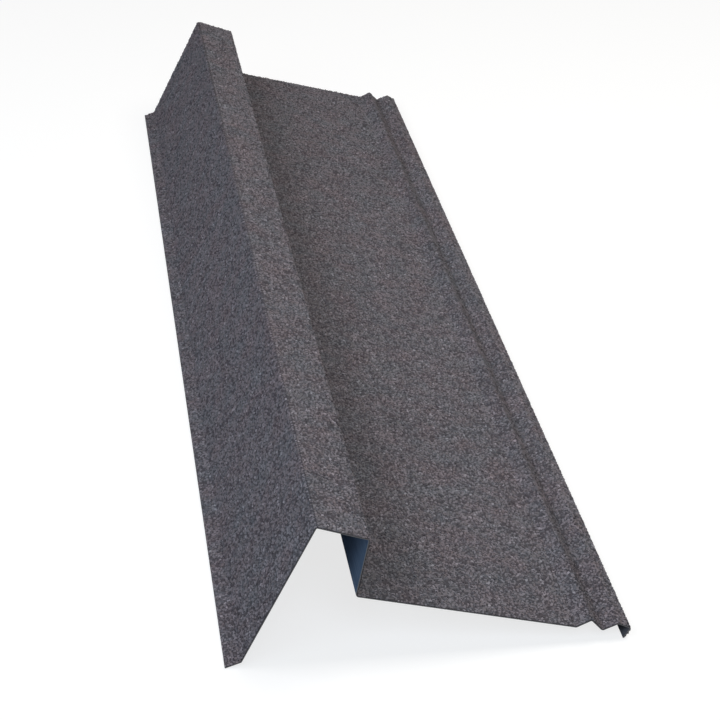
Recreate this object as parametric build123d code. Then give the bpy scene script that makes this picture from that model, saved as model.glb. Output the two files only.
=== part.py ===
from build123d import *
from itertools import accumulate
from math import atan2, cos, degrees, radians
import os

# A barge cover: one sheet of steel, coated with stone chips on its outer face
# and folded along its whole length. It caps the batten at the sloping edge of
# a tiled roof. The fascia hangs in front of the barge board, the cap lies on
# the batten, and the pan runs back under the tiles.
# The part lies as it does unheld on a floor, on the drip lip's cut edge and
# the edge leg's. Its length runs along Y. Millimetres and degrees.

# The sheet
cover_length = 1250
sheet_thickness = 1.2

# Widths of the flats, between the sharp corners of the sheet's middle line
lip_width = 14
fascia_width = 138
cap_width = 45
channel_leg_depth = 54
pan_width = 190
check_rib_rise_width = 14
check_rib_fall_width = 14.5
edge_rib_rise_width = 14.5
edge_strip_width = 12
edge_leg_depth = 11

# Angles of the flats against the pan, positive where a flat climbs on its way
# from the drip lip to the edge leg
lip_angle = 32.7
fascia_angle = 77.7
cap_angle = -5
channel_leg_angle = -86.9
check_rib_rise_angle = 38.3
check_rib_fall_angle = -34.3
edge_rib_rise_angle = 35.9
edge_strip_angle = -12.8
edge_leg_angle = -107.6

# Inside radii of the folds
fold_radius = 1
channel_foot_radius = 2
rib_radius = 1.5

# The flats in order, each with its width, its angle and the inside radius of
# the fold that ends it. The sheet stops after the last flat, without a fold.
flats = [
    (lip_width, lip_angle, fold_radius),
    (fascia_width, fascia_angle, fold_radius),
    (cap_width, cap_angle, fold_radius),
    (channel_leg_depth, channel_leg_angle, channel_foot_radius),
    (pan_width, 0, rib_radius),
    (check_rib_rise_width, check_rib_rise_angle, rib_radius),
    (check_rib_fall_width, check_rib_fall_angle, rib_radius),
    (edge_rib_rise_width, edge_rib_rise_angle, rib_radius),
    (edge_strip_width, edge_strip_angle, fold_radius),
    (edge_leg_depth, edge_leg_angle, None),
]
widths, angles, inside_radii = zip(*flats)


def along(angle):
    """The unit vector along a flat that lies at this angle."""
    return Vector(1, 0).rotate(Axis.Z, angle)


def across(angle):
    """The unit vector out of that flat's coated face."""
    return Vector(0, 1).rotate(Axis.Z, angle)


def sheet_face_line(out):
    """The line of the sheet's face that lies this far out of its middle.

    Each corner of the middle line moves out along the fold's own bisector, so
    the flats of the new line stay parallel to the old ones, and the fold's
    radius grows or shrinks by the same distance.
    """
    steps = [along(angle) * width for width, angle in zip(widths, angles)]
    middle = list(accumulate(steps, initial=Vector(0, 0)))
    corners = [middle[0] + across(angles[0]) * out]
    radii = []
    for corner, before, after, inside in zip(middle[1:], angles, angles[1:], inside_radii):
        turn = after - before
        bisector = across((before + after) / 2)
        corners.append(corner + bisector * (out / cos(radians(turn / 2))))
        inner_side = 1 if turn > 0 else -1
        radii.append(inside + sheet_thickness / 2 - inner_side * out)
    corners.append(middle[-1] + across(angles[-1]) * out)
    return FilletPolyline(*corners, radius=radii)


def sheet_section():
    """The folded sheet's section in the XZ plane, standing on Z = 0."""
    coated_line = sheet_face_line(sheet_thickness / 2)
    back_line = sheet_face_line(-sheet_thickness / 2)
    cut_edges = [
        Line(back_line @ 0, coated_line @ 0),
        Line(back_line @ 1, coated_line @ 1),
    ]
    outline = make_face([*coated_line.edges(), *back_line.edges(), *cut_edges])

    # It stands on the back corner of the lip's cut edge and on the coated
    # corner of the edge leg's.
    lip_foot = back_line @ 0
    leg_foot = coated_line @ 1
    lean = degrees(atan2(leg_foot.Y - lip_foot.Y, leg_foot.X - lip_foot.X))
    level = Rotation(0, 0, -lean) * Pos(-lip_foot) * outline
    middle_x = level.bounding_box().center().X
    return Plane.XZ * Pos(-middle_x, 0) * level


def barge_cover():
    """The cover, centred on the origin along and across, resting on Z = 0."""
    return extrude(sheet_section(), amount=cover_length / 2, both=True)


os.makedirs("parts", exist_ok=True)
cover = barge_cover()
cover.label = "barge_cover"
export_step(cover, "parts/barge_cover.step")
print("sheet width before folding", sum(widths))
print("bounding box", cover.bounding_box())
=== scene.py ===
# %% [markdown]
# # A barge cover in stone-coated steel
#
# A barge cover closes the sloping edge of a tiled roof. It is one strip of
# sheet steel, primed in slate blue, with stone chips glued to its outer face,
# and folded along its whole length. The folded sheet comes from the CAD model
# and isn't touched here. What this lesson adds is the finish: the chips, the
# binder between them, the primer on the back, and a plain studio.

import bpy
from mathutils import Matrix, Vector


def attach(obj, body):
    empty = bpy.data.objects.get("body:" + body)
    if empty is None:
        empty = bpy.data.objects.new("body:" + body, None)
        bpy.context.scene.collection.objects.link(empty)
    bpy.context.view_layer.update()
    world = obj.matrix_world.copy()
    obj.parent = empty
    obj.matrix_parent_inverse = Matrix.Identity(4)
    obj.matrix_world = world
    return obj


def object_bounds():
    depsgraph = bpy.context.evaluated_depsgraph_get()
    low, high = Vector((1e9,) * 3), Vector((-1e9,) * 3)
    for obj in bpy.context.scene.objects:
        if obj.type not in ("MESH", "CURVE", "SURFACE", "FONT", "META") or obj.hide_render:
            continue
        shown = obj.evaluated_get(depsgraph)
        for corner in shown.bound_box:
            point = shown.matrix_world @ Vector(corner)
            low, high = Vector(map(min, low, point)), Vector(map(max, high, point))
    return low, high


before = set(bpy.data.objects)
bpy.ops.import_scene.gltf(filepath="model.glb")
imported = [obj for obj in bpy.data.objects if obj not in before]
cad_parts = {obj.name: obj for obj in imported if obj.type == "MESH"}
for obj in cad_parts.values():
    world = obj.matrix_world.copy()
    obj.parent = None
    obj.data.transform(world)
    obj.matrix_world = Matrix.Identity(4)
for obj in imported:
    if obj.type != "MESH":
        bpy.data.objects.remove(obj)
cad_low, cad_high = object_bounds()
MM = 0.001


def in_millimetres(corner):
    """A corner of a box in millimetres, for printing."""
    return [round(value / MM, 1) for value in corner]


print("CAD box from", in_millimetres(cad_low), "to", in_millimetres(cad_high))

# %% Blender's own modules
import math
import random

import bmesh
import bpy
import numpy as np
from mathutils import Euler, Vector

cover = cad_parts["barge_cover"]
print("CAD node", cover.name, "has", len(cover.data.polygons), "triangles")

# %% [markdown]
# ## Finding the coated face
#
# The chips lie only on the sheet's outer face, so that face is needed as a
# surface by itself. It could be picked by the way it points, but a folded sheet
# points everywhere. Walking is safer: start at the highest face, which is
# outside for certain, and step over every edge that bends gently. A fold is
# a run of gentle bends, and the cut edges of the sheet are square corners, so
# the walk ends exactly there.

# %% Walk over the coated face
SQUARE_CORNER = math.radians(60)
WELD = 0.001 * MM


def coated_face_of(node):
    """A welded copy of the node's mesh, cut down to the faces outside."""
    shell = bmesh.new()
    shell.from_mesh(node.data)
    bmesh.ops.remove_doubles(shell, verts=shell.verts, dist=WELD)
    highest = max(shell.faces, key=lambda face: face.calc_center_median().z)
    found = {highest}
    edge_of_walk = [highest]
    while edge_of_walk:
        face = edge_of_walk.pop()
        for edge in face.edges:
            if len(edge.link_faces) != 2 or edge.calc_face_angle() > SQUARE_CORNER:
                continue
            for neighbour in edge.link_faces:
                if neighbour not in found:
                    found.add(neighbour)
                    edge_of_walk.append(neighbour)
    inside = [face for face in shell.faces if face not in found]
    bmesh.ops.delete(shell, geom=inside, context="FACES")
    mesh = bpy.data.meshes.new("coated_face")
    shell.to_mesh(mesh)
    shell.free()
    return mesh


coated_face = coated_face_of(cover)
coated_area = sum(polygon.area for polygon in coated_face.polygons)
print("coated face", len(coated_face.polygons), "faces", round(coated_area, 4), "square metres")

# %% [markdown]
# ## Small helpers for objects and nodes
#
# Two helpers put an object in the scene and turn what a draft's modifiers make
# into a plain mesh. Node trees built in a script read best when a node, its
# settings and its links stand on one line, so the rest are for them. They serve
# shader trees and geometry trees alike.

# %% Object helpers
def add_object(name, data):
    """An object with this mesh, lamp or camera, in the scene."""
    thing = bpy.data.objects.new(name, data)
    bpy.context.collection.objects.link(thing)
    return thing


def made_by_modifiers(draft):
    """The plain mesh that a draft's modifiers make. The draft is removed."""
    evaluated = draft.evaluated_get(bpy.context.evaluated_depsgraph_get())
    mesh = bpy.data.meshes.new_from_object(evaluated)
    bpy.data.objects.remove(draft)
    return mesh


# %% Node helpers
def feed(tree, node, inputs):
    """Links each input to a socket, or fills it with a plain value."""
    for key, value in inputs.items():
        if isinstance(value, bpy.types.NodeSocket):
            tree.links.new(value, node.inputs[key])
        else:
            node.inputs[key].default_value = value


def add_node(tree, kind, inputs=None, **settings):
    """A new node, with its settings made before its inputs are fed."""
    node = tree.nodes.new(kind)
    for name, value in settings.items():
        setattr(node, name, value)
    feed(tree, node, inputs or {})
    return node


def add_sockets(tree, in_out, sockets):
    """Gives a group its named inputs or outputs, each with its kind."""
    for name, kind in sockets.items():
        tree.interface.new_socket(name, in_out=in_out, socket_type=f"NodeSocket{kind}")


def new_material(name):
    """A material, its node tree and its Principled shader."""
    material = bpy.data.materials.new(name)
    material.use_nodes = True
    tree = material.node_tree
    return material, tree, tree.nodes["Principled BSDF"]


# %% Helpers for values and colours
def math_node(tree, operation, *values):
    """The value that a Math node puts out."""
    inputs = dict(enumerate(values))
    return add_node(tree, "ShaderNodeMath", inputs, operation=operation).outputs[0]


def ramp(tree, value, low, high, to_low=0.0, to_high=1.0, **settings):
    """The value, mapped from one range to another and kept inside it."""
    inputs = {
        "Value": value,
        "From Min": low,
        "From Max": high,
        "To Min": to_low,
        "To Max": to_high,
    }
    return add_node(tree, "ShaderNodeMapRange", inputs, **settings).outputs["Result"]


def mix_values(tree, factor, first, second):
    """Two values mixed by a factor."""
    inputs = {0: factor, 2: first, 3: second}
    return add_node(tree, "ShaderNodeMix", inputs, data_type="FLOAT").outputs[0]


def mix_colours(tree, factor, first, second, way="MIX"):
    """Two colours mixed by a factor."""
    inputs = {0: factor, 6: first, 7: second}
    return add_node(tree, "ShaderNodeMix", inputs, data_type="RGBA", blend_type=way).outputs[2]


def noise(tree, place, scale, detail, rough=0.5):
    """Noise over a place, from 0 to 1. The scale is in patches to the metre."""
    inputs = {"Vector": place, "Scale": scale, "Detail": detail, "Roughness": rough}
    return add_node(tree, "ShaderNodeTexNoise", inputs).outputs["Fac"]


def grey(value):
    """A neutral colour."""
    return (value, value, value, 1.0)


# %% [markdown]
# ## Painted shade in the folds
#
# The coat is painted darker in two bands where shade falls: in the groove
# between the two ribs, and along the foot of the channel leg, which the leg
# shades. These painted shadows are what shows the folds from afar. Each band
# runs the whole length, so its place is a span of X. The cap stands over one of
# the spans, but the painted shade fades out with height and leaves it bare.

# %% Painted shade bands
# Painted shade: the coat is darkened in these bands, where the folds shade it.
PAINTED_SHADE_BANDS = {
    "groove_between_ribs": (133 * MM, 137 * MM, 144 * MM, 148 * MM, 0.9),
    "foot_of_channel_leg": (-64 * MM, -62 * MM, -32 * MM, 8 * MM, 1.0),
}
PAINTED_SHADE_STRENGTH = 0.24
PAINTED_SHADE_COLOUR = (0.050, 0.048, 0.055, 1.0)
NO_SHADE_ABOVE = 100 * MM
FULL_SHADE_BELOW = 65 * MM


def painted_shade_level(tree, place):
    """How much painted shade lies at a place, from 0 to 1."""
    spot = add_node(tree, "ShaderNodeSeparateXYZ", {0: place}).outputs
    painted_shade = 0.0
    for start, full, fading, end, amount in PAINTED_SHADE_BANDS.values():
        rising = ramp(tree, spot["X"], start, full, 0.0, amount)
        falling = ramp(tree, spot["X"], end, fading)
        band = math_node(tree, "MULTIPLY", rising, falling)
        painted_shade = math_node(tree, "MAXIMUM", painted_shade, band)
    # The painted shade fades out with height, so the cap is left bare.
    low_down = ramp(tree, spot["Z"], NO_SHADE_ABOVE, FULL_SHADE_BELOW)
    return math_node(tree, "MULTIPLY", painted_shade, low_down)


print("dirt in", list(PAINTED_SHADE_BANDS))

# %% [markdown]
# ## The tint that all the chips share
#
# Chips of one colour are never quite alike, and a batch drifts along the
# sheet: a little browner here, a little bluer there. Both effects are wanted in
# every chip material, and so is the painted shade in the folds, so they are one
# node group. It takes the chip's own colour, its own random shade and how far
# shades may spread, and gives back a colour and a roughness.

# %% Group: stone tint
DRIFT_PER_METRE = 34.0
DRIFT_DETAIL = 3.0
COOL_UNDER = 0.34
WARM_OVER = 0.66
WARM_DRIFT = (1.05, 0.98, 0.98, 1.0)
COOL_DRIFT = (0.96, 1.01, 1.02, 1.0)
MIDDLE_SHADE = 0.5
SMOOTHEST_CHIP = 0.62
ROUGHEST_CHIP = 0.95


def stone_tint_group():
    """The node group, with its nodes and its named inputs and outputs."""
    tree = bpy.data.node_groups.new("stone tint", "ShaderNodeTree")
    add_sockets(tree, "INPUT", {"Colour": "Color", "Shade": "Float", "Spread": "Float"})
    add_sockets(tree, "OUTPUT", {"Colour": "Color", "Roughness": "Float"})
    given = add_node(tree, "NodeGroupInput").outputs
    place = add_node(tree, "ShaderNodeTexCoord").outputs["Object"]
    batch = noise(tree, place, DRIFT_PER_METRE, DRIFT_DETAIL)
    drift = mix_colours(tree, ramp(tree, batch, COOL_UNDER, WARM_OVER), COOL_DRIFT, WARM_DRIFT)
    drifted = mix_colours(tree, 1.0, given["Colour"], drift, "MULTIPLY")
    centred = math_node(tree, "SUBTRACT", given["Shade"], MIDDLE_SHADE)
    lift = math_node(tree, "MULTIPLY_ADD", centred, given["Spread"], 1.0)
    level = add_node(tree, "ShaderNodeCombineColor", {0: lift, 1: lift, 2: lift}).outputs[0]
    shaded = mix_colours(tree, 1.0, drifted, level, "MULTIPLY")
    # The painted shade of the fold bands, laid over the colour.
    painted_shade = math_node(tree, "MULTIPLY", painted_shade_level(tree, place), PAINTED_SHADE_STRENGTH)
    shade_painted_over = mix_colours(tree, painted_shade, shaded, PAINTED_SHADE_COLOUR)
    rough = ramp(tree, given["Shade"], 0.0, 1.0, SMOOTHEST_CHIP, ROUGHEST_CHIP)
    add_node(tree, "NodeGroupOutput", {"Colour": shade_painted_over, "Roughness": rough})
    return tree


stone_tint = stone_tint_group()
print("group", stone_tint.name, "has", len(stone_tint.nodes), "nodes")


# %% The group, placed in a material
def add_stone_tint(tree, colour, shade, spread):
    """The tint group's outputs, for a material's own values."""
    inputs = {"Colour": colour, "Shade": shade, "Spread": spread}
    return add_node(tree, "ShaderNodeGroup", inputs, node_tree=stone_tint).outputs


# %% [markdown]
# ## The patches that the stones fall in
#
# Stones don't mix evenly as they fall. Dark ones gather in spots a few
# millimetres wide, and pale ones in others, and from two metres away those
# spots are the grain that the eye sees. The spots are a noise in the cover's own
# coordinates. The film's material and the tree that lays the chips both read
# it, so that a dark spot is dark in its fines and in its chips alike.

# %% The patches
PATCH_WIDTH = 5 * MM
PATCH_BLEND = 0.28
PATCH_DETAIL = 1.0
PATCH_LOW = 0.3
PATCH_HIGH = 0.7


def patch_level(tree, place, per_metre):
    """How pale the patch at a place is, from 0 to 1."""
    return ramp(tree, noise(tree, place, per_metre, PATCH_DETAIL), PATCH_LOW, PATCH_HIGH)


print("patches about", PATCH_WIDTH / MM, "mm wide, with a weight of", PATCH_BLEND)

# %% [markdown]
# ## The binder and the fine chips in it
#
# Between the larger chips the sheet shows dark acrylic binder, full of stone
# dust and of chips too small to model. It lies on the coated face as a film.
# Here the film is a thin closed shell, most of it sunk in the sheet, and its
# grain is in its material: one cell of a Voronoi pattern for each fine chip,
# with its own grey and its own height.

# %% Material: binder with fine chips
FINE_CHIP = 1.25 * MM
FINE_CHIP_CORE = 0.25
FINE_CHIP_RIM = 0.62
FINE_CHIP_SPREAD = 0.5
FINE_CHIP_RELIEF = 0.3 * MM
RELIEF_STRENGTH = 0.6
STONE_SHINE = 0.02
BINDER_DARK = (0.076, 0.071, 0.080, 1.0)
FINE_CHIP_GREY = (0.174, 0.163, 0.180, 1.0)


def fine_chip_coat_material():
    """Dark binder, with a cell of its own grey and height for each fine chip."""
    material, tree, shader = new_material("fine_chip_coat")
    place = add_node(tree, "ShaderNodeTexCoord").outputs["Object"]
    cell_inputs = {"Vector": place, "Scale": 1.0 / FINE_CHIP, "Randomness": 1.0}
    cells = add_node(tree, "ShaderNodeTexVoronoi", cell_inputs).outputs
    own = add_node(tree, "ShaderNodeSeparateColor", {0: cells["Color"]}).outputs
    patch = patch_level(tree, place, 1.0 / PATCH_WIDTH)
    level = mix_values(tree, PATCH_BLEND, own["Red"], patch)
    stone = mix_colours(tree, level, BINDER_DARK, FINE_CHIP_GREY)
    between = ramp(tree, cells["Distance"], FINE_CHIP_CORE, FINE_CHIP_RIM)
    sunk = mix_colours(tree, between, stone, BINDER_DARK)
    tint = add_stone_tint(tree, sunk, own["Green"], FINE_CHIP_SPREAD)
    height = math_node(tree, "SUBTRACT", own["Blue"], between)
    bump_inputs = {"Height": height, "Distance": FINE_CHIP_RELIEF, "Strength": RELIEF_STRENGTH}
    feed(tree, shader, {
        "Base Color": tint["Colour"],
        "Roughness": tint["Roughness"],
        "Normal": add_node(tree, "ShaderNodeBump", bump_inputs).outputs["Normal"],
        "Specular IOR Level": STONE_SHINE,
    })
    return material


fine_chip_coat = fine_chip_coat_material()
print("material", fine_chip_coat.name, "with chips of", FINE_CHIP / MM, "mm")

# %% The binder film, as a thin closed shell
FILM_PROUD = 0.04 * MM
FILM_DEPTH = 0.4 * MM


def keep_in_cad_box(mesh):
    """Moves each vertex that left the CAD box back onto its side."""
    for vertex in mesh.vertices:
        for axis in range(3):
            vertex.co[axis] = min(max(vertex.co[axis], cad_low[axis]), cad_high[axis])


def binder_film():
    """The coated face, thickened into a shell."""
    draft = add_object("film_draft", coated_face.copy())
    solidify = draft.modifiers.new("thickness", "SOLIDIFY")
    solidify.thickness = FILM_DEPTH + FILM_PROUD
    solidify.offset = (FILM_PROUD - FILM_DEPTH) / (FILM_PROUD + FILM_DEPTH)
    solidify.use_even_offset = True
    mesh = made_by_modifiers(draft)
    mesh.name = "binder_film"
    mesh.materials.clear()
    mesh.materials.append(fine_chip_coat)
    keep_in_cad_box(mesh)
    return add_object(mesh.name, mesh)


film = binder_film()
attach(film, "root")
print("binder film", len(film.data.polygons), "faces")

# %% [markdown]
# ## The shapes of the stone chips
#
# Crushed stone breaks into blunt, angular bits with flat faces. Each shape here
# has a broken top of three corners over a wider foot of three more, turned by
# half a step, so eight triangles close it. The foot sinks in the binder. That
# is few enough faces to lay tens of thousands of chips, and eight different
# shapes, turned and stretched at random, are never seen to repeat.

# %% Eight chip shapes
SHAPE_COUNT = 8
SHAPE_SEED = 4
THIRD = 2 * math.pi / 3
FOOT_REACH = 0.95
FOOT_HEIGHT = -0.14
TOP_REACH = 0.7
TOP_HEIGHT = 0.5
CORNER_SWING = 0.33
CORNER_REACH = (0.85, 1.2)
CORNER_LIFT = 0.05
CHIP_FACES = [
    (0, 2, 1), (3, 4, 5),
    (0, 1, 3), (1, 2, 4), (2, 0, 5),
    (1, 4, 3), (2, 5, 4), (0, 3, 5),
]


def chip_corners(reach, height, first_turn, draw):
    """Three uneven corners around a chip's axis."""
    corners = []
    for third in range(3):
        turn = first_turn + third * THIRD + draw.uniform(-CORNER_SWING, CORNER_SWING)
        out = reach * draw.uniform(*CORNER_REACH)
        up = height + draw.uniform(-CORNER_LIFT, CORNER_LIFT)
        corners.append((out * math.cos(turn), out * math.sin(turn), up))
    return corners


def chip_shape(index, draw):
    """A chip about two units wide that sits in the coat up to its foot."""
    foot = chip_corners(FOOT_REACH, FOOT_HEIGHT, 0.0, draw)
    top = chip_corners(TOP_REACH, TOP_HEIGHT, THIRD / 2, draw)
    mesh = bpy.data.meshes.new(f"chip_shape_{index}")
    mesh.from_pydata(foot + top, [], CHIP_FACES)
    return bpy.data.objects.new(mesh.name, mesh)


shape_draw = random.Random(SHAPE_SEED)
chip_shapes = bpy.data.collections.new("chip_shapes")
for index in range(SHAPE_COUNT):
    chip_shapes.objects.link(chip_shape(index, shape_draw))

# %% [markdown]
# ## Laying the chips
#
# In the works the chips rain down on wet binder and stick where they land,
# about one grain deep, with their edges over one another. Distribute Points on
# Faces in its Poisson mode does the same: the points lie anywhere, but never
# nearer to each other than a set spacing. Here that is two thirds of a chip's
# width.
#
# One material can't hold several stone colours and stay simple to export, so
# each colour is a piece of its own. Every piece runs the same tree with the
# same seed, draws the same lot for each point, and keeps the points whose lot
# falls in its own share. So the colours mix, and no point gets two chips.
#
# The tree is built in steps, each a function of its own. Its named inputs hold
# the sizes, the seed and the share, so that one tree serves every colour.

# %% The tree's inputs, and its draws
CHIP_LAYER_INPUTS = {
    "Geometry": "Geometry",
    "Spacing": "Float",
    "Density": "Float",
    "Half width": "Float",
    "Lot from": "Float",
    "Lot to": "Float",
    "Tip": "Float",
    "Patch": "Float",
    "Blend": "Float",
    "Seed": "Int",
    "Shapes": "Collection",
    "Stone": "Material",
    "Box low": "Vector",
    "Box high": "Vector",
}
DRAW_SALTS = {
    "lot": 11,
    "stretch": 12,
    "shape": 13,
    "tip about X": 14,
    "tip about Y": 15,
    "turn": 16,
    "shade": 17,
}
RANDOM_VALUE_SOCKETS = {"FLOAT_VECTOR": (0, 1, 0), "FLOAT": (2, 3, 1), "INT": (4, 5, 2)}


def draw_each(tree, given, what, kind, low, high):
    """A random value for each point. The seed and the draw's salt steer it."""
    lowest, highest, drawn = RANDOM_VALUE_SOCKETS[kind]
    seed = math_node(tree, "ADD", given["Seed"], DRAW_SALTS[what])
    inputs = {lowest: low, highest: high, "Seed": seed}
    return add_node(tree, "FunctionNodeRandomValue", inputs, data_type=kind).outputs[drawn]


print("draws for each chip", list(DRAW_SALTS))

# %% [markdown]
# A point's lot is a chance of its own, blended with the patch that it falls in.
# The blend bunches the lots in the middle, and a smooth step spreads them out
# again.


# %% Points, and the ones that this colour keeps
def scatter_points(tree, given):
    """Points over the whole coated face, the same ones for every colour."""
    return add_node(tree, "GeometryNodeDistributePointsOnFaces", {
        "Mesh": given["Geometry"],
        "Distance Min": given["Spacing"],
        "Density Max": given["Density"],
        "Seed": given["Seed"],
    }, distribute_method="POISSON").outputs


def own_points(tree, given, points):
    """The points whose lot falls in this colour's share."""
    spot = add_node(tree, "GeometryNodeInputPosition").outputs["Position"]
    patch = patch_level(tree, spot, math_node(tree, "DIVIDE", 1.0, given["Patch"]))
    chance = draw_each(tree, given, "lot", "FLOAT", 0.0, 1.0)
    blended = mix_values(tree, given["Blend"], chance, patch)
    lot = ramp(tree, blended, 0.0, 1.0, interpolation_type="SMOOTHSTEP")
    above = math_node(tree, "GREATER_THAN", lot, given["Lot from"])
    below = math_node(tree, "LESS_THAN", lot, given["Lot to"])
    inputs = {"Geometry": points, "Selection": math_node(tree, "MULTIPLY", above, below)}
    kept = add_node(tree, "GeometryNodeSeparateGeometry", inputs, domain="POINT")
    return kept.outputs["Selection"]


# %% [markdown]
# Each point gets one shape, stretched at random, turned about the surface's
# normal and tipped a little. It also carries the sheet's normal and a shade of
# its own, for the shading and the material later on.

# %% A chip on each point
SHEET_NORMAL = "sheet_normal"
STRETCH_LEAST = (0.72, 0.72, 0.7)
STRETCH_MOST = (1.28, 1.28, 1.3)


def lay_shapes(tree, given, points, scatter):
    """One chip shape on each point, square to the sheet."""
    shapes = add_node(tree, "GeometryNodeCollectionInfo", {
        "Collection": given["Shapes"],
        "Separate Children": True,
        "Reset Children": True,
    })
    stretch = draw_each(tree, given, "stretch", "FLOAT_VECTOR", STRETCH_LEAST, STRETCH_MOST)
    scale_inputs = {0: stretch, "Scale": given["Half width"]}
    scale = add_node(tree, "ShaderNodeVectorMath", scale_inputs, operation="SCALE")
    marked = add_node(tree, "GeometryNodeStoreNamedAttribute", {
        "Geometry": points,
        "Name": SHEET_NORMAL,
        "Value": scatter["Normal"],
    }, data_type="FLOAT_VECTOR", domain="POINT")
    return add_node(tree, "GeometryNodeInstanceOnPoints", {
        "Points": marked.outputs["Geometry"],
        "Instance": shapes.outputs["Instances"],
        "Pick Instance": True,
        "Instance Index": draw_each(tree, given, "shape", "INT", 0, SHAPE_COUNT - 1),
        "Rotation": scatter["Rotation"],
        "Scale": scale.outputs[0],
    }).outputs["Instances"]


# %% Its turn, its tip and its shade
CHIP_SHADE = "chip_shade"
FULL_TURN = 2 * math.pi


def turn_chips(tree, given, chips):
    """The chips turned about the sheet's normal and tipped a little."""
    tip_back = math_node(tree, "MULTIPLY", given["Tip"], -1.0)
    angles = add_node(tree, "ShaderNodeCombineXYZ", {
        "X": draw_each(tree, given, "tip about X", "FLOAT", tip_back, given["Tip"]),
        "Y": draw_each(tree, given, "tip about Y", "FLOAT", tip_back, given["Tip"]),
        "Z": draw_each(tree, given, "turn", "FLOAT", 0.0, FULL_TURN),
    })
    return add_node(tree, "GeometryNodeRotateInstances", {
        "Instances": chips,
        "Rotation": angles.outputs["Vector"],
        "Local Space": True,
    }).outputs["Instances"]


def shade_chips(tree, given, chips):
    """The chips, each with a random shade that its material can read."""
    return add_node(tree, "GeometryNodeStoreNamedAttribute", {
        "Geometry": chips,
        "Name": CHIP_SHADE,
        "Value": draw_each(tree, given, "shade", "FLOAT", 0.0, 1.0),
    }, data_type="FLOAT", domain="INSTANCE").outputs["Geometry"]


# %% [markdown]
# Chips that hang over a cut edge are trimmed flush with it, as the shear does.
# The tree ends in plain faces with a material, because instances can't be
# exported.

# %% Trim the chips, and put the tree together
def trim_to_box(tree, given, mesh):
    """The mesh, with each vertex outside the CAD box moved onto its side."""
    place = add_node(tree, "GeometryNodeInputPosition").outputs["Position"]
    for corner, operation in (("Box low", "MAXIMUM"), ("Box high", "MINIMUM")):
        inputs = {0: place, 1: given[corner]}
        place = add_node(tree, "ShaderNodeVectorMath", inputs, operation=operation).outputs[0]
    inputs = {"Geometry": mesh, "Position": place}
    return add_node(tree, "GeometryNodeSetPosition", inputs).outputs["Geometry"]


def chip_layer_tree():
    """The tree from the bare coated face to the chips of one colour."""
    tree = bpy.data.node_groups.new("chip layer", "GeometryNodeTree")
    add_sockets(tree, "INPUT", CHIP_LAYER_INPUTS)
    add_sockets(tree, "OUTPUT", {"Geometry": "Geometry"})
    given = add_node(tree, "NodeGroupInput").outputs
    scatter = scatter_points(tree, given)
    points = own_points(tree, given, scatter["Points"])
    laid = lay_shapes(tree, given, points, scatter)
    shaded = shade_chips(tree, given, turn_chips(tree, given, laid))
    solid = add_node(tree, "GeometryNodeRealizeInstances", {"Geometry": shaded})
    trimmed = trim_to_box(tree, given, solid.outputs["Geometry"])
    stone_inputs = {"Geometry": trimmed, "Material": given["Stone"]}
    stone = add_node(tree, "GeometryNodeSetMaterial", stone_inputs)
    add_node(tree, "NodeGroupOutput", {"Geometry": stone.outputs["Geometry"]})
    return tree


chip_layer = chip_layer_tree()
print("tree", chip_layer.name, "has", len(chip_layer.nodes), "nodes")

# %% [markdown]
# ## The stones' colours
#
# Seen close, dark grey stone coat is a mix: black basalt, several charcoals,
# some mid grey, a few brown and a very few pale chips that catch the eye. Each
# colour has its share of the chips, and the shares add up to one.

# %% Stone materials
SHADE_SPREAD = 0.15
STONES = {
    "black": {"share": 0.13, "colour": (0.087, 0.081, 0.089, 1.0)},
    "cool_charcoal": {"share": 0.15, "colour": (0.130, 0.126, 0.142, 1.0)},
    "warm_charcoal": {"share": 0.19, "colour": (0.159, 0.146, 0.157, 1.0)},
    "brown": {"share": 0.08, "colour": (0.173, 0.155, 0.164, 1.0)},
    "dark_grey": {"share": 0.24, "colour": (0.186, 0.174, 0.191, 1.0)},
    "mid_grey": {"share": 0.17, "colour": (0.212, 0.199, 0.219, 1.0)},
    "pale": {"share": 0.04, "colour": (0.284, 0.267, 0.293, 1.0)},
}


def stone_material(name, colour):
    """One colour of stone, shaded a little differently on each chip."""
    material, tree, shader = new_material(f"stone_{name}")
    shade = add_node(tree, "ShaderNodeAttribute", attribute_name=CHIP_SHADE)
    tint = add_stone_tint(tree, colour, shade.outputs["Fac"], SHADE_SPREAD)
    feed(tree, shader, {
        "Base Color": tint["Colour"],
        "Roughness": tint["Roughness"],
        "Specular IOR Level": STONE_SHINE,
    })
    return material


stone_materials = {name: stone_material(name, stone["colour"]) for name, stone in STONES.items()}
print("stones", list(stone_materials))

# %% [markdown]
# ## Shading that is softer than the facets
#
# A real chip has worn corners and a skin of dust, so it catches the light less
# sharply than eight flat triangles do, and seen from two metres the coat takes
# its light much as the plain sheet would. More triangles would cost too much on
# so many chips. Custom normals cost nothing: each facet's normal leans towards
# the sheet's own, which every chip was given as it was laid. The faces that
# look down into the binder keep theirs.

# %% Lean the facets' normals
GRAIN_SOFTNESS = 0.8
LOOKS_DOWN = -0.1
FACET_CORNERS = 3


def vectors_of(items, name, size=3, kind=np.float32):
    """A property of many items, as an array with a row for each."""
    values = np.empty(len(items) * size, kind)
    items.foreach_get(name, values)
    return values.reshape(-1, size)


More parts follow.
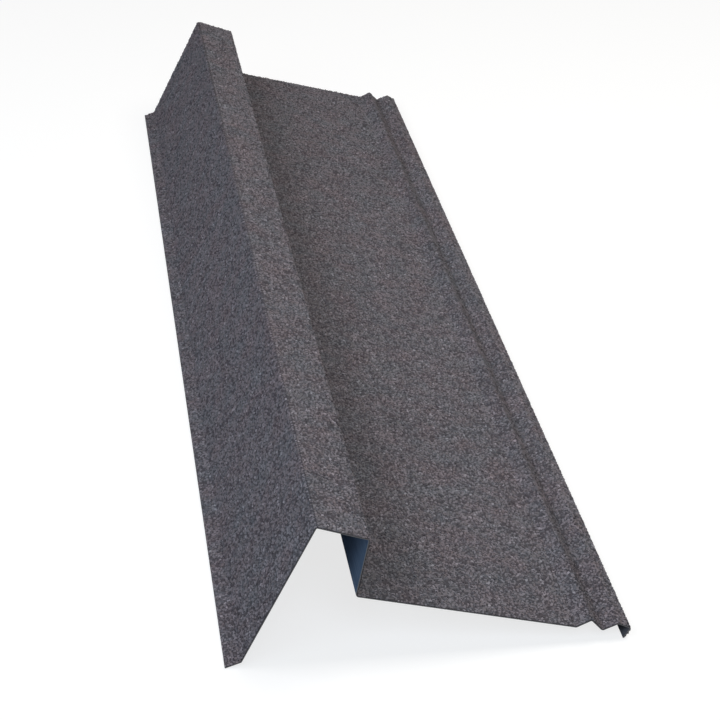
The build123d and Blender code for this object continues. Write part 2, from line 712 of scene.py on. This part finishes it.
def soften_grain(mesh):
    """Leans the normals of a mesh of chips towards the sheet's."""
    facet = vectors_of(mesh.polygons, "normal")
    vertex = vectors_of(mesh.loops, "vertex_index", 1, np.int32)
    first_vertex = vertex[::FACET_CORNERS, 0]
    sheet = vectors_of(mesh.attributes[SHEET_NORMAL].data, "vector")[first_vertex]
    facing = (facet * sheet).sum(1, keepdims=True)
    lean = np.where(facing > LOOKS_DOWN, GRAIN_SOFTNESS, 0.0)
    soft = facet * (1 - lean) + sheet * lean
    soft /= np.linalg.norm(soft, axis=1, keepdims=True)
    mesh.polygons.foreach_set("use_smooth", np.ones(len(mesh.polygons), bool))
    mesh.normals_split_custom_set(np.repeat(soft, FACET_CORNERS, axis=0))
    mesh.attributes.remove(mesh.attributes[SHEET_NORMAL])


print("the facets' normals lean by", GRAIN_SOFTNESS)

# %% Lay the chips of one colour
CHIP_LAYER_VALUES = {
    "Spacing": 2.2 * MM,
    "Density": 900_000.0,
    "Half width": 1.7 * MM,
    "Tip": math.radians(8),
    "Patch": PATCH_WIDTH,
    "Blend": PATCH_BLEND,
    "Seed": 7,
    "Shapes": chip_shapes,
    "Box low": tuple(cad_low),
    "Box high": tuple(cad_high),
}


def chips_of(name, lot_from, lot_to):
    """The chips of one colour, as a plain mesh."""
    draft = add_object("chips_draft", coated_face.copy())
    modifier = draft.modifiers.new("chips", "NODES")
    modifier.node_group = chip_layer
    own_values = {"Lot from": lot_from, "Lot to": lot_to, "Stone": stone_materials[name]}
    items = chip_layer.interface.items_tree
    sockets = {item.name: item.identifier for item in items if item.in_out == "INPUT"}
    for key, value in {**CHIP_LAYER_VALUES, **own_values}.items():
        modifier[sockets[key]] = value
    mesh = made_by_modifiers(draft)
    mesh.name = f"chips_{name}"
    soften_grain(mesh)
    return add_object(mesh.name, mesh)


print("chips", 2 * CHIP_LAYER_VALUES["Half width"] / MM, "mm wide")

# %% Lay every colour
lot = 0.0
chip_total = 0
for name, stone in STONES.items():
    chips = chips_of(name, lot, lot + stone["share"])
    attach(chips, "root")
    lot += stone["share"]
    chip_total += len(chips.data.polygons)
    print(chips.name, len(chips.data.polygons), "triangles")
print("all chips", chip_total, "triangles, shares add up to", round(lot, 3))

# %% [markdown]
# ## The primed back and the cut edges
#
# The CAD node itself shows wherever there are no chips: on the back, where
# the sheet is primed slate blue and was smoothed by a roller, and on its cut
# edges, where bare steel shows. The material knows the two ends by the
# surface's own normal, which points along Y there and nowhere else. The long
# edges stand on the floor, so they are the last millimetre of height. Behind
# the edge leg the primer is painted a darker grey, a painted shade for the deep
# shadow there. The primer is matt, so it has no shine set: only its own blue
# shows in the channel.

# %% Where the steel is bare
FACES_AN_END = 0.7
LONG_EDGE_HEIGHT = 1.1 * MM
LONG_EDGE_SOLID = 0.8


def bare_steel(tree, height):
    """One on the two ends and on the long cut edges, and nothing elsewhere."""
    normal = add_node(tree, "ShaderNodeNewGeometry").outputs["Normal"]
    facing = add_node(tree, "ShaderNodeSeparateXYZ", {0: normal}).outputs["Y"]
    end = math_node(tree, "GREATER_THAN", math_node(tree, "ABSOLUTE", facing), FACES_AN_END)
    long_edge = ramp(tree, height, LONG_EDGE_HEIGHT, LONG_EDGE_SOLID * LONG_EDGE_HEIGHT)
    return math_node(tree, "MAXIMUM", end, long_edge)


print("long edges are bare up to", LONG_EDGE_HEIGHT / MM, "mm")

# %% The primer's streaks and clouds
STREAKS_PER_METRE = 420.0
STREAK_SQUASH = (1.0, 0.02, 1.0)
CLOUDS_PER_METRE = 9.0


def primer_noise(tree, place):
    """Fine streaks along the sheet, and wide clouds over it."""
    squashed = add_node(tree, "ShaderNodeMapping", {"Vector": place, "Scale": STREAK_SQUASH})
    streaks = noise(tree, squashed.outputs["Vector"], STREAKS_PER_METRE, detail=4.0, rough=0.6)
    clouds = noise(tree, place, CLOUDS_PER_METRE, detail=3.0)
    return streaks, clouds


print("streaks", 1 / STREAK_SQUASH[1], "times as long as they are wide")

# %% Material: slate primer and cut steel
PRIMER_BLUE = (0.138, 0.190, 0.280, 1.0)
PRIMER_DEEP = (0.089, 0.129, 0.200, 1.0)
PRIMER_SHINE = 0.0
DEEP_UNDER = 0.75
BLUE_OVER = 1.25
STREAK_RANGE = (0.3, 0.7)
PRIMER_ROUGHNESS = (0.36, 0.5)
PRIMER_RELIEF = 0.02 * MM
PRIMER_RELIEF_STRENGTH = 0.5
CUT_STEEL = (0.105, 0.105, 0.110, 1.0)
CUT_STEEL_METAL = 0.8
# Painted shade: the primer behind the edge leg is painted this darker grey.
LEG_SHADE_GREY = (0.115, 0.115, 0.130, 1.0)
LEG_SHADE_START = 148 * MM
LEG_SHADE_FULL = 160 * MM


def primed_steel_material():
    """Blue primer, painted darker grey behind the edge leg as shade, and steel where the sheet was
    cut.
    """
    material, tree, shader = new_material("primed_steel")
    place = add_node(tree, "ShaderNodeTexCoord").outputs["Object"]
    spot = add_node(tree, "ShaderNodeSeparateXYZ", {0: place}).outputs
    streaks, clouds = primer_noise(tree, place)
    mottle = math_node(tree, "ADD", streaks, clouds)
    primer = mix_colours(tree, ramp(tree, mottle, DEEP_UNDER, BLUE_OVER), PRIMER_DEEP, PRIMER_BLUE)
    # Where the painted shade behind the edge leg lies, as a span of X.
    painted_leg_shade = ramp(tree, spot["X"], LEG_SHADE_START, LEG_SHADE_FULL)
    paint = mix_colours(tree, painted_leg_shade, primer, LEG_SHADE_GREY)
    bare = bare_steel(tree, spot["Z"])
    relief = {"Height": mottle, "Distance": PRIMER_RELIEF, "Strength": PRIMER_RELIEF_STRENGTH}
    feed(tree, shader, {
        "Base Color": mix_colours(tree, bare, paint, CUT_STEEL),
        "Roughness": ramp(tree, streaks, *STREAK_RANGE, *PRIMER_ROUGHNESS),
        "Metallic": math_node(tree, "MULTIPLY", bare, CUT_STEEL_METAL),
        "Specular IOR Level": PRIMER_SHINE,
        "Normal": add_node(tree, "ShaderNodeBump", relief).outputs["Normal"],
    })
    return material


primed_steel = primed_steel_material()
if not cover.data.materials:
    cover.data.materials.append(primed_steel)
for slot in range(len(cover.material_slots)):
    cover.material_slots[slot].material = primed_steel
print("CAD node finished with", primed_steel.name)

# %% [markdown]
# ## The studio
#
# Soft light from four sides, left, right, front and front left, shows the folds
# without hard shadows. The lamps stay at a level where a colour renders as it is
# written, so a plain background can't come from them. Light Path tells which
# rays see the background bare, and for those the floor glows and the world is
# white. All the other rays meet a plain pale floor and a nearly dark world. The
# floor still takes the cover's shadow.

# %% The rays that see the background
def sees_background(tree):
    """One for the camera's rays and those that come off or through the part."""
    ray = add_node(tree, "ShaderNodeLightPath").outputs
    direct = math_node(tree, "MAXIMUM", ray["Is Camera Ray"], ray["Is Glossy Ray"])
    return math_node(tree, "MAXIMUM", direct, ray["Is Transmission Ray"])


# %% The floor
FLOOR_SIZE = 30.0
FLOOR_GAP = 0.2 * MM
FLOOR_GREY = 0.8
GLOW = 0.76
GLOW_FLOOR_GREY = 0.30


def floor_material():
    """Plain pale grey, which glows for the rays that see the background."""
    material, tree, shader = new_material("studio_floor")
    tree.nodes.remove(shader)
    plain = add_node(tree, "ShaderNodeBsdfDiffuse", {"Color": grey(FLOOR_GREY)})
    shown = add_node(tree, "ShaderNodeBsdfDiffuse", {"Color": grey(GLOW_FLOOR_GREY)})
    glow = add_node(tree, "ShaderNodeEmission", {"Strength": GLOW})
    lit = add_node(tree, "ShaderNodeAddShader", {0: shown.outputs[0], 1: glow.outputs[0]})
    both_inputs = {0: sees_background(tree), 1: plain.outputs[0], 2: lit.outputs[0]}
    both = add_node(tree, "ShaderNodeMixShader", both_inputs)
    feed(tree, tree.nodes["Material Output"], {"Surface": both.outputs[0]})
    return material


def studio_floor():
    """A wide square just under the part."""
    half = FLOOR_SIZE / 2
    sides = [(-half, -half), (half, -half), (half, half), (-half, half)]
    mesh = bpy.data.meshes.new("studio_floor")
    mesh.from_pydata([(x, y, cad_low.z - FLOOR_GAP) for x, y in sides], [], [(0, 1, 2, 3)])
    mesh.materials.append(floor_material())
    return add_object("studio_floor", mesh)


floor = studio_floor()
print("floor", FLOOR_SIZE, "m square")

# %% The world
AMBIENT = 0.02


def studio_world():
    """White for the rays that see the background, and nearly dark for the rest."""
    world = bpy.data.worlds.new("studio_world")
    world.use_nodes = True
    tree = world.node_tree
    strength = ramp(tree, sees_background(tree), 0.0, 1.0, AMBIENT, 1.0)
    feed(tree, tree.nodes["Background"], {"Color": grey(1.0), "Strength": strength})
    return world


bpy.context.scene.world = studio_world()
print("world lights the part at", AMBIENT)

# %% Lamps
LAMPS = {
    "left_softbox": ((-1.7, 0.0, 2.1), 20.0, (0.97, 0.98, 1.07)),
    "right_softbox": ((1.0, 0.0, 2.3), 36.5, (1.06, 1.01, 0.92)),
    "front_softbox": ((0.0, -2.4, 2.0), 21.0, (0.88, 0.99, 1.13)),
    "front_left_softbox": ((-1.8, -1.8, 1.6), 16.0, (0.86, 1.02, 1.13)),
}
LAMP_SIZE = 1.4
LAMPS_AIM = Vector((0.0, 0.0, 0.05))
for name, (place, power, tint) in LAMPS.items():
    lamp = bpy.data.lights.new(name, "AREA")
    lamp.color = tint
    lamp.energy = power
    lamp.size = LAMP_SIZE
    stand = add_object(name, lamp)
    stand.location = place
    stand.rotation_euler = (LAMPS_AIM - Vector(place)).to_track_quat("-Z", "Y").to_euler()
print("lamps", list(LAMPS))

# %% [markdown]
# ## The camera
#
# It stands about two metres from the middle of the cover and a metre up, looks
# down along it from a little to the left, and is tipped very slightly, as
# hand-held cameras are.

# %% Camera
CAMERA_PLACE = Vector((-0.2667, -1.9899, 0.9995))
CAMERA_HEADING = math.radians(8.564)
CAMERA_DIP = math.radians(27.679)
CAMERA_ROLL = math.radians(0.731)
SENSOR = 36.0
FOCAL_LENGTH = 103.2

camera_data = bpy.data.cameras.new("camera")
camera_data.sensor_width = SENSOR
camera_data.lens = FOCAL_LENGTH
camera = add_object("camera", camera_data)
camera.location = CAMERA_PLACE
aim = Euler((math.pi / 2 - CAMERA_DIP, 0.0, -CAMERA_HEADING))
tip = Euler((0.0, 0.0, CAMERA_ROLL))
camera.rotation_euler = (aim.to_matrix() @ tip.to_matrix()).to_euler()
bpy.context.scene.camera = camera
bpy.context.scene.view_settings.view_transform = "Standard"
print("camera with a", FOCAL_LENGTH, "mm lens")
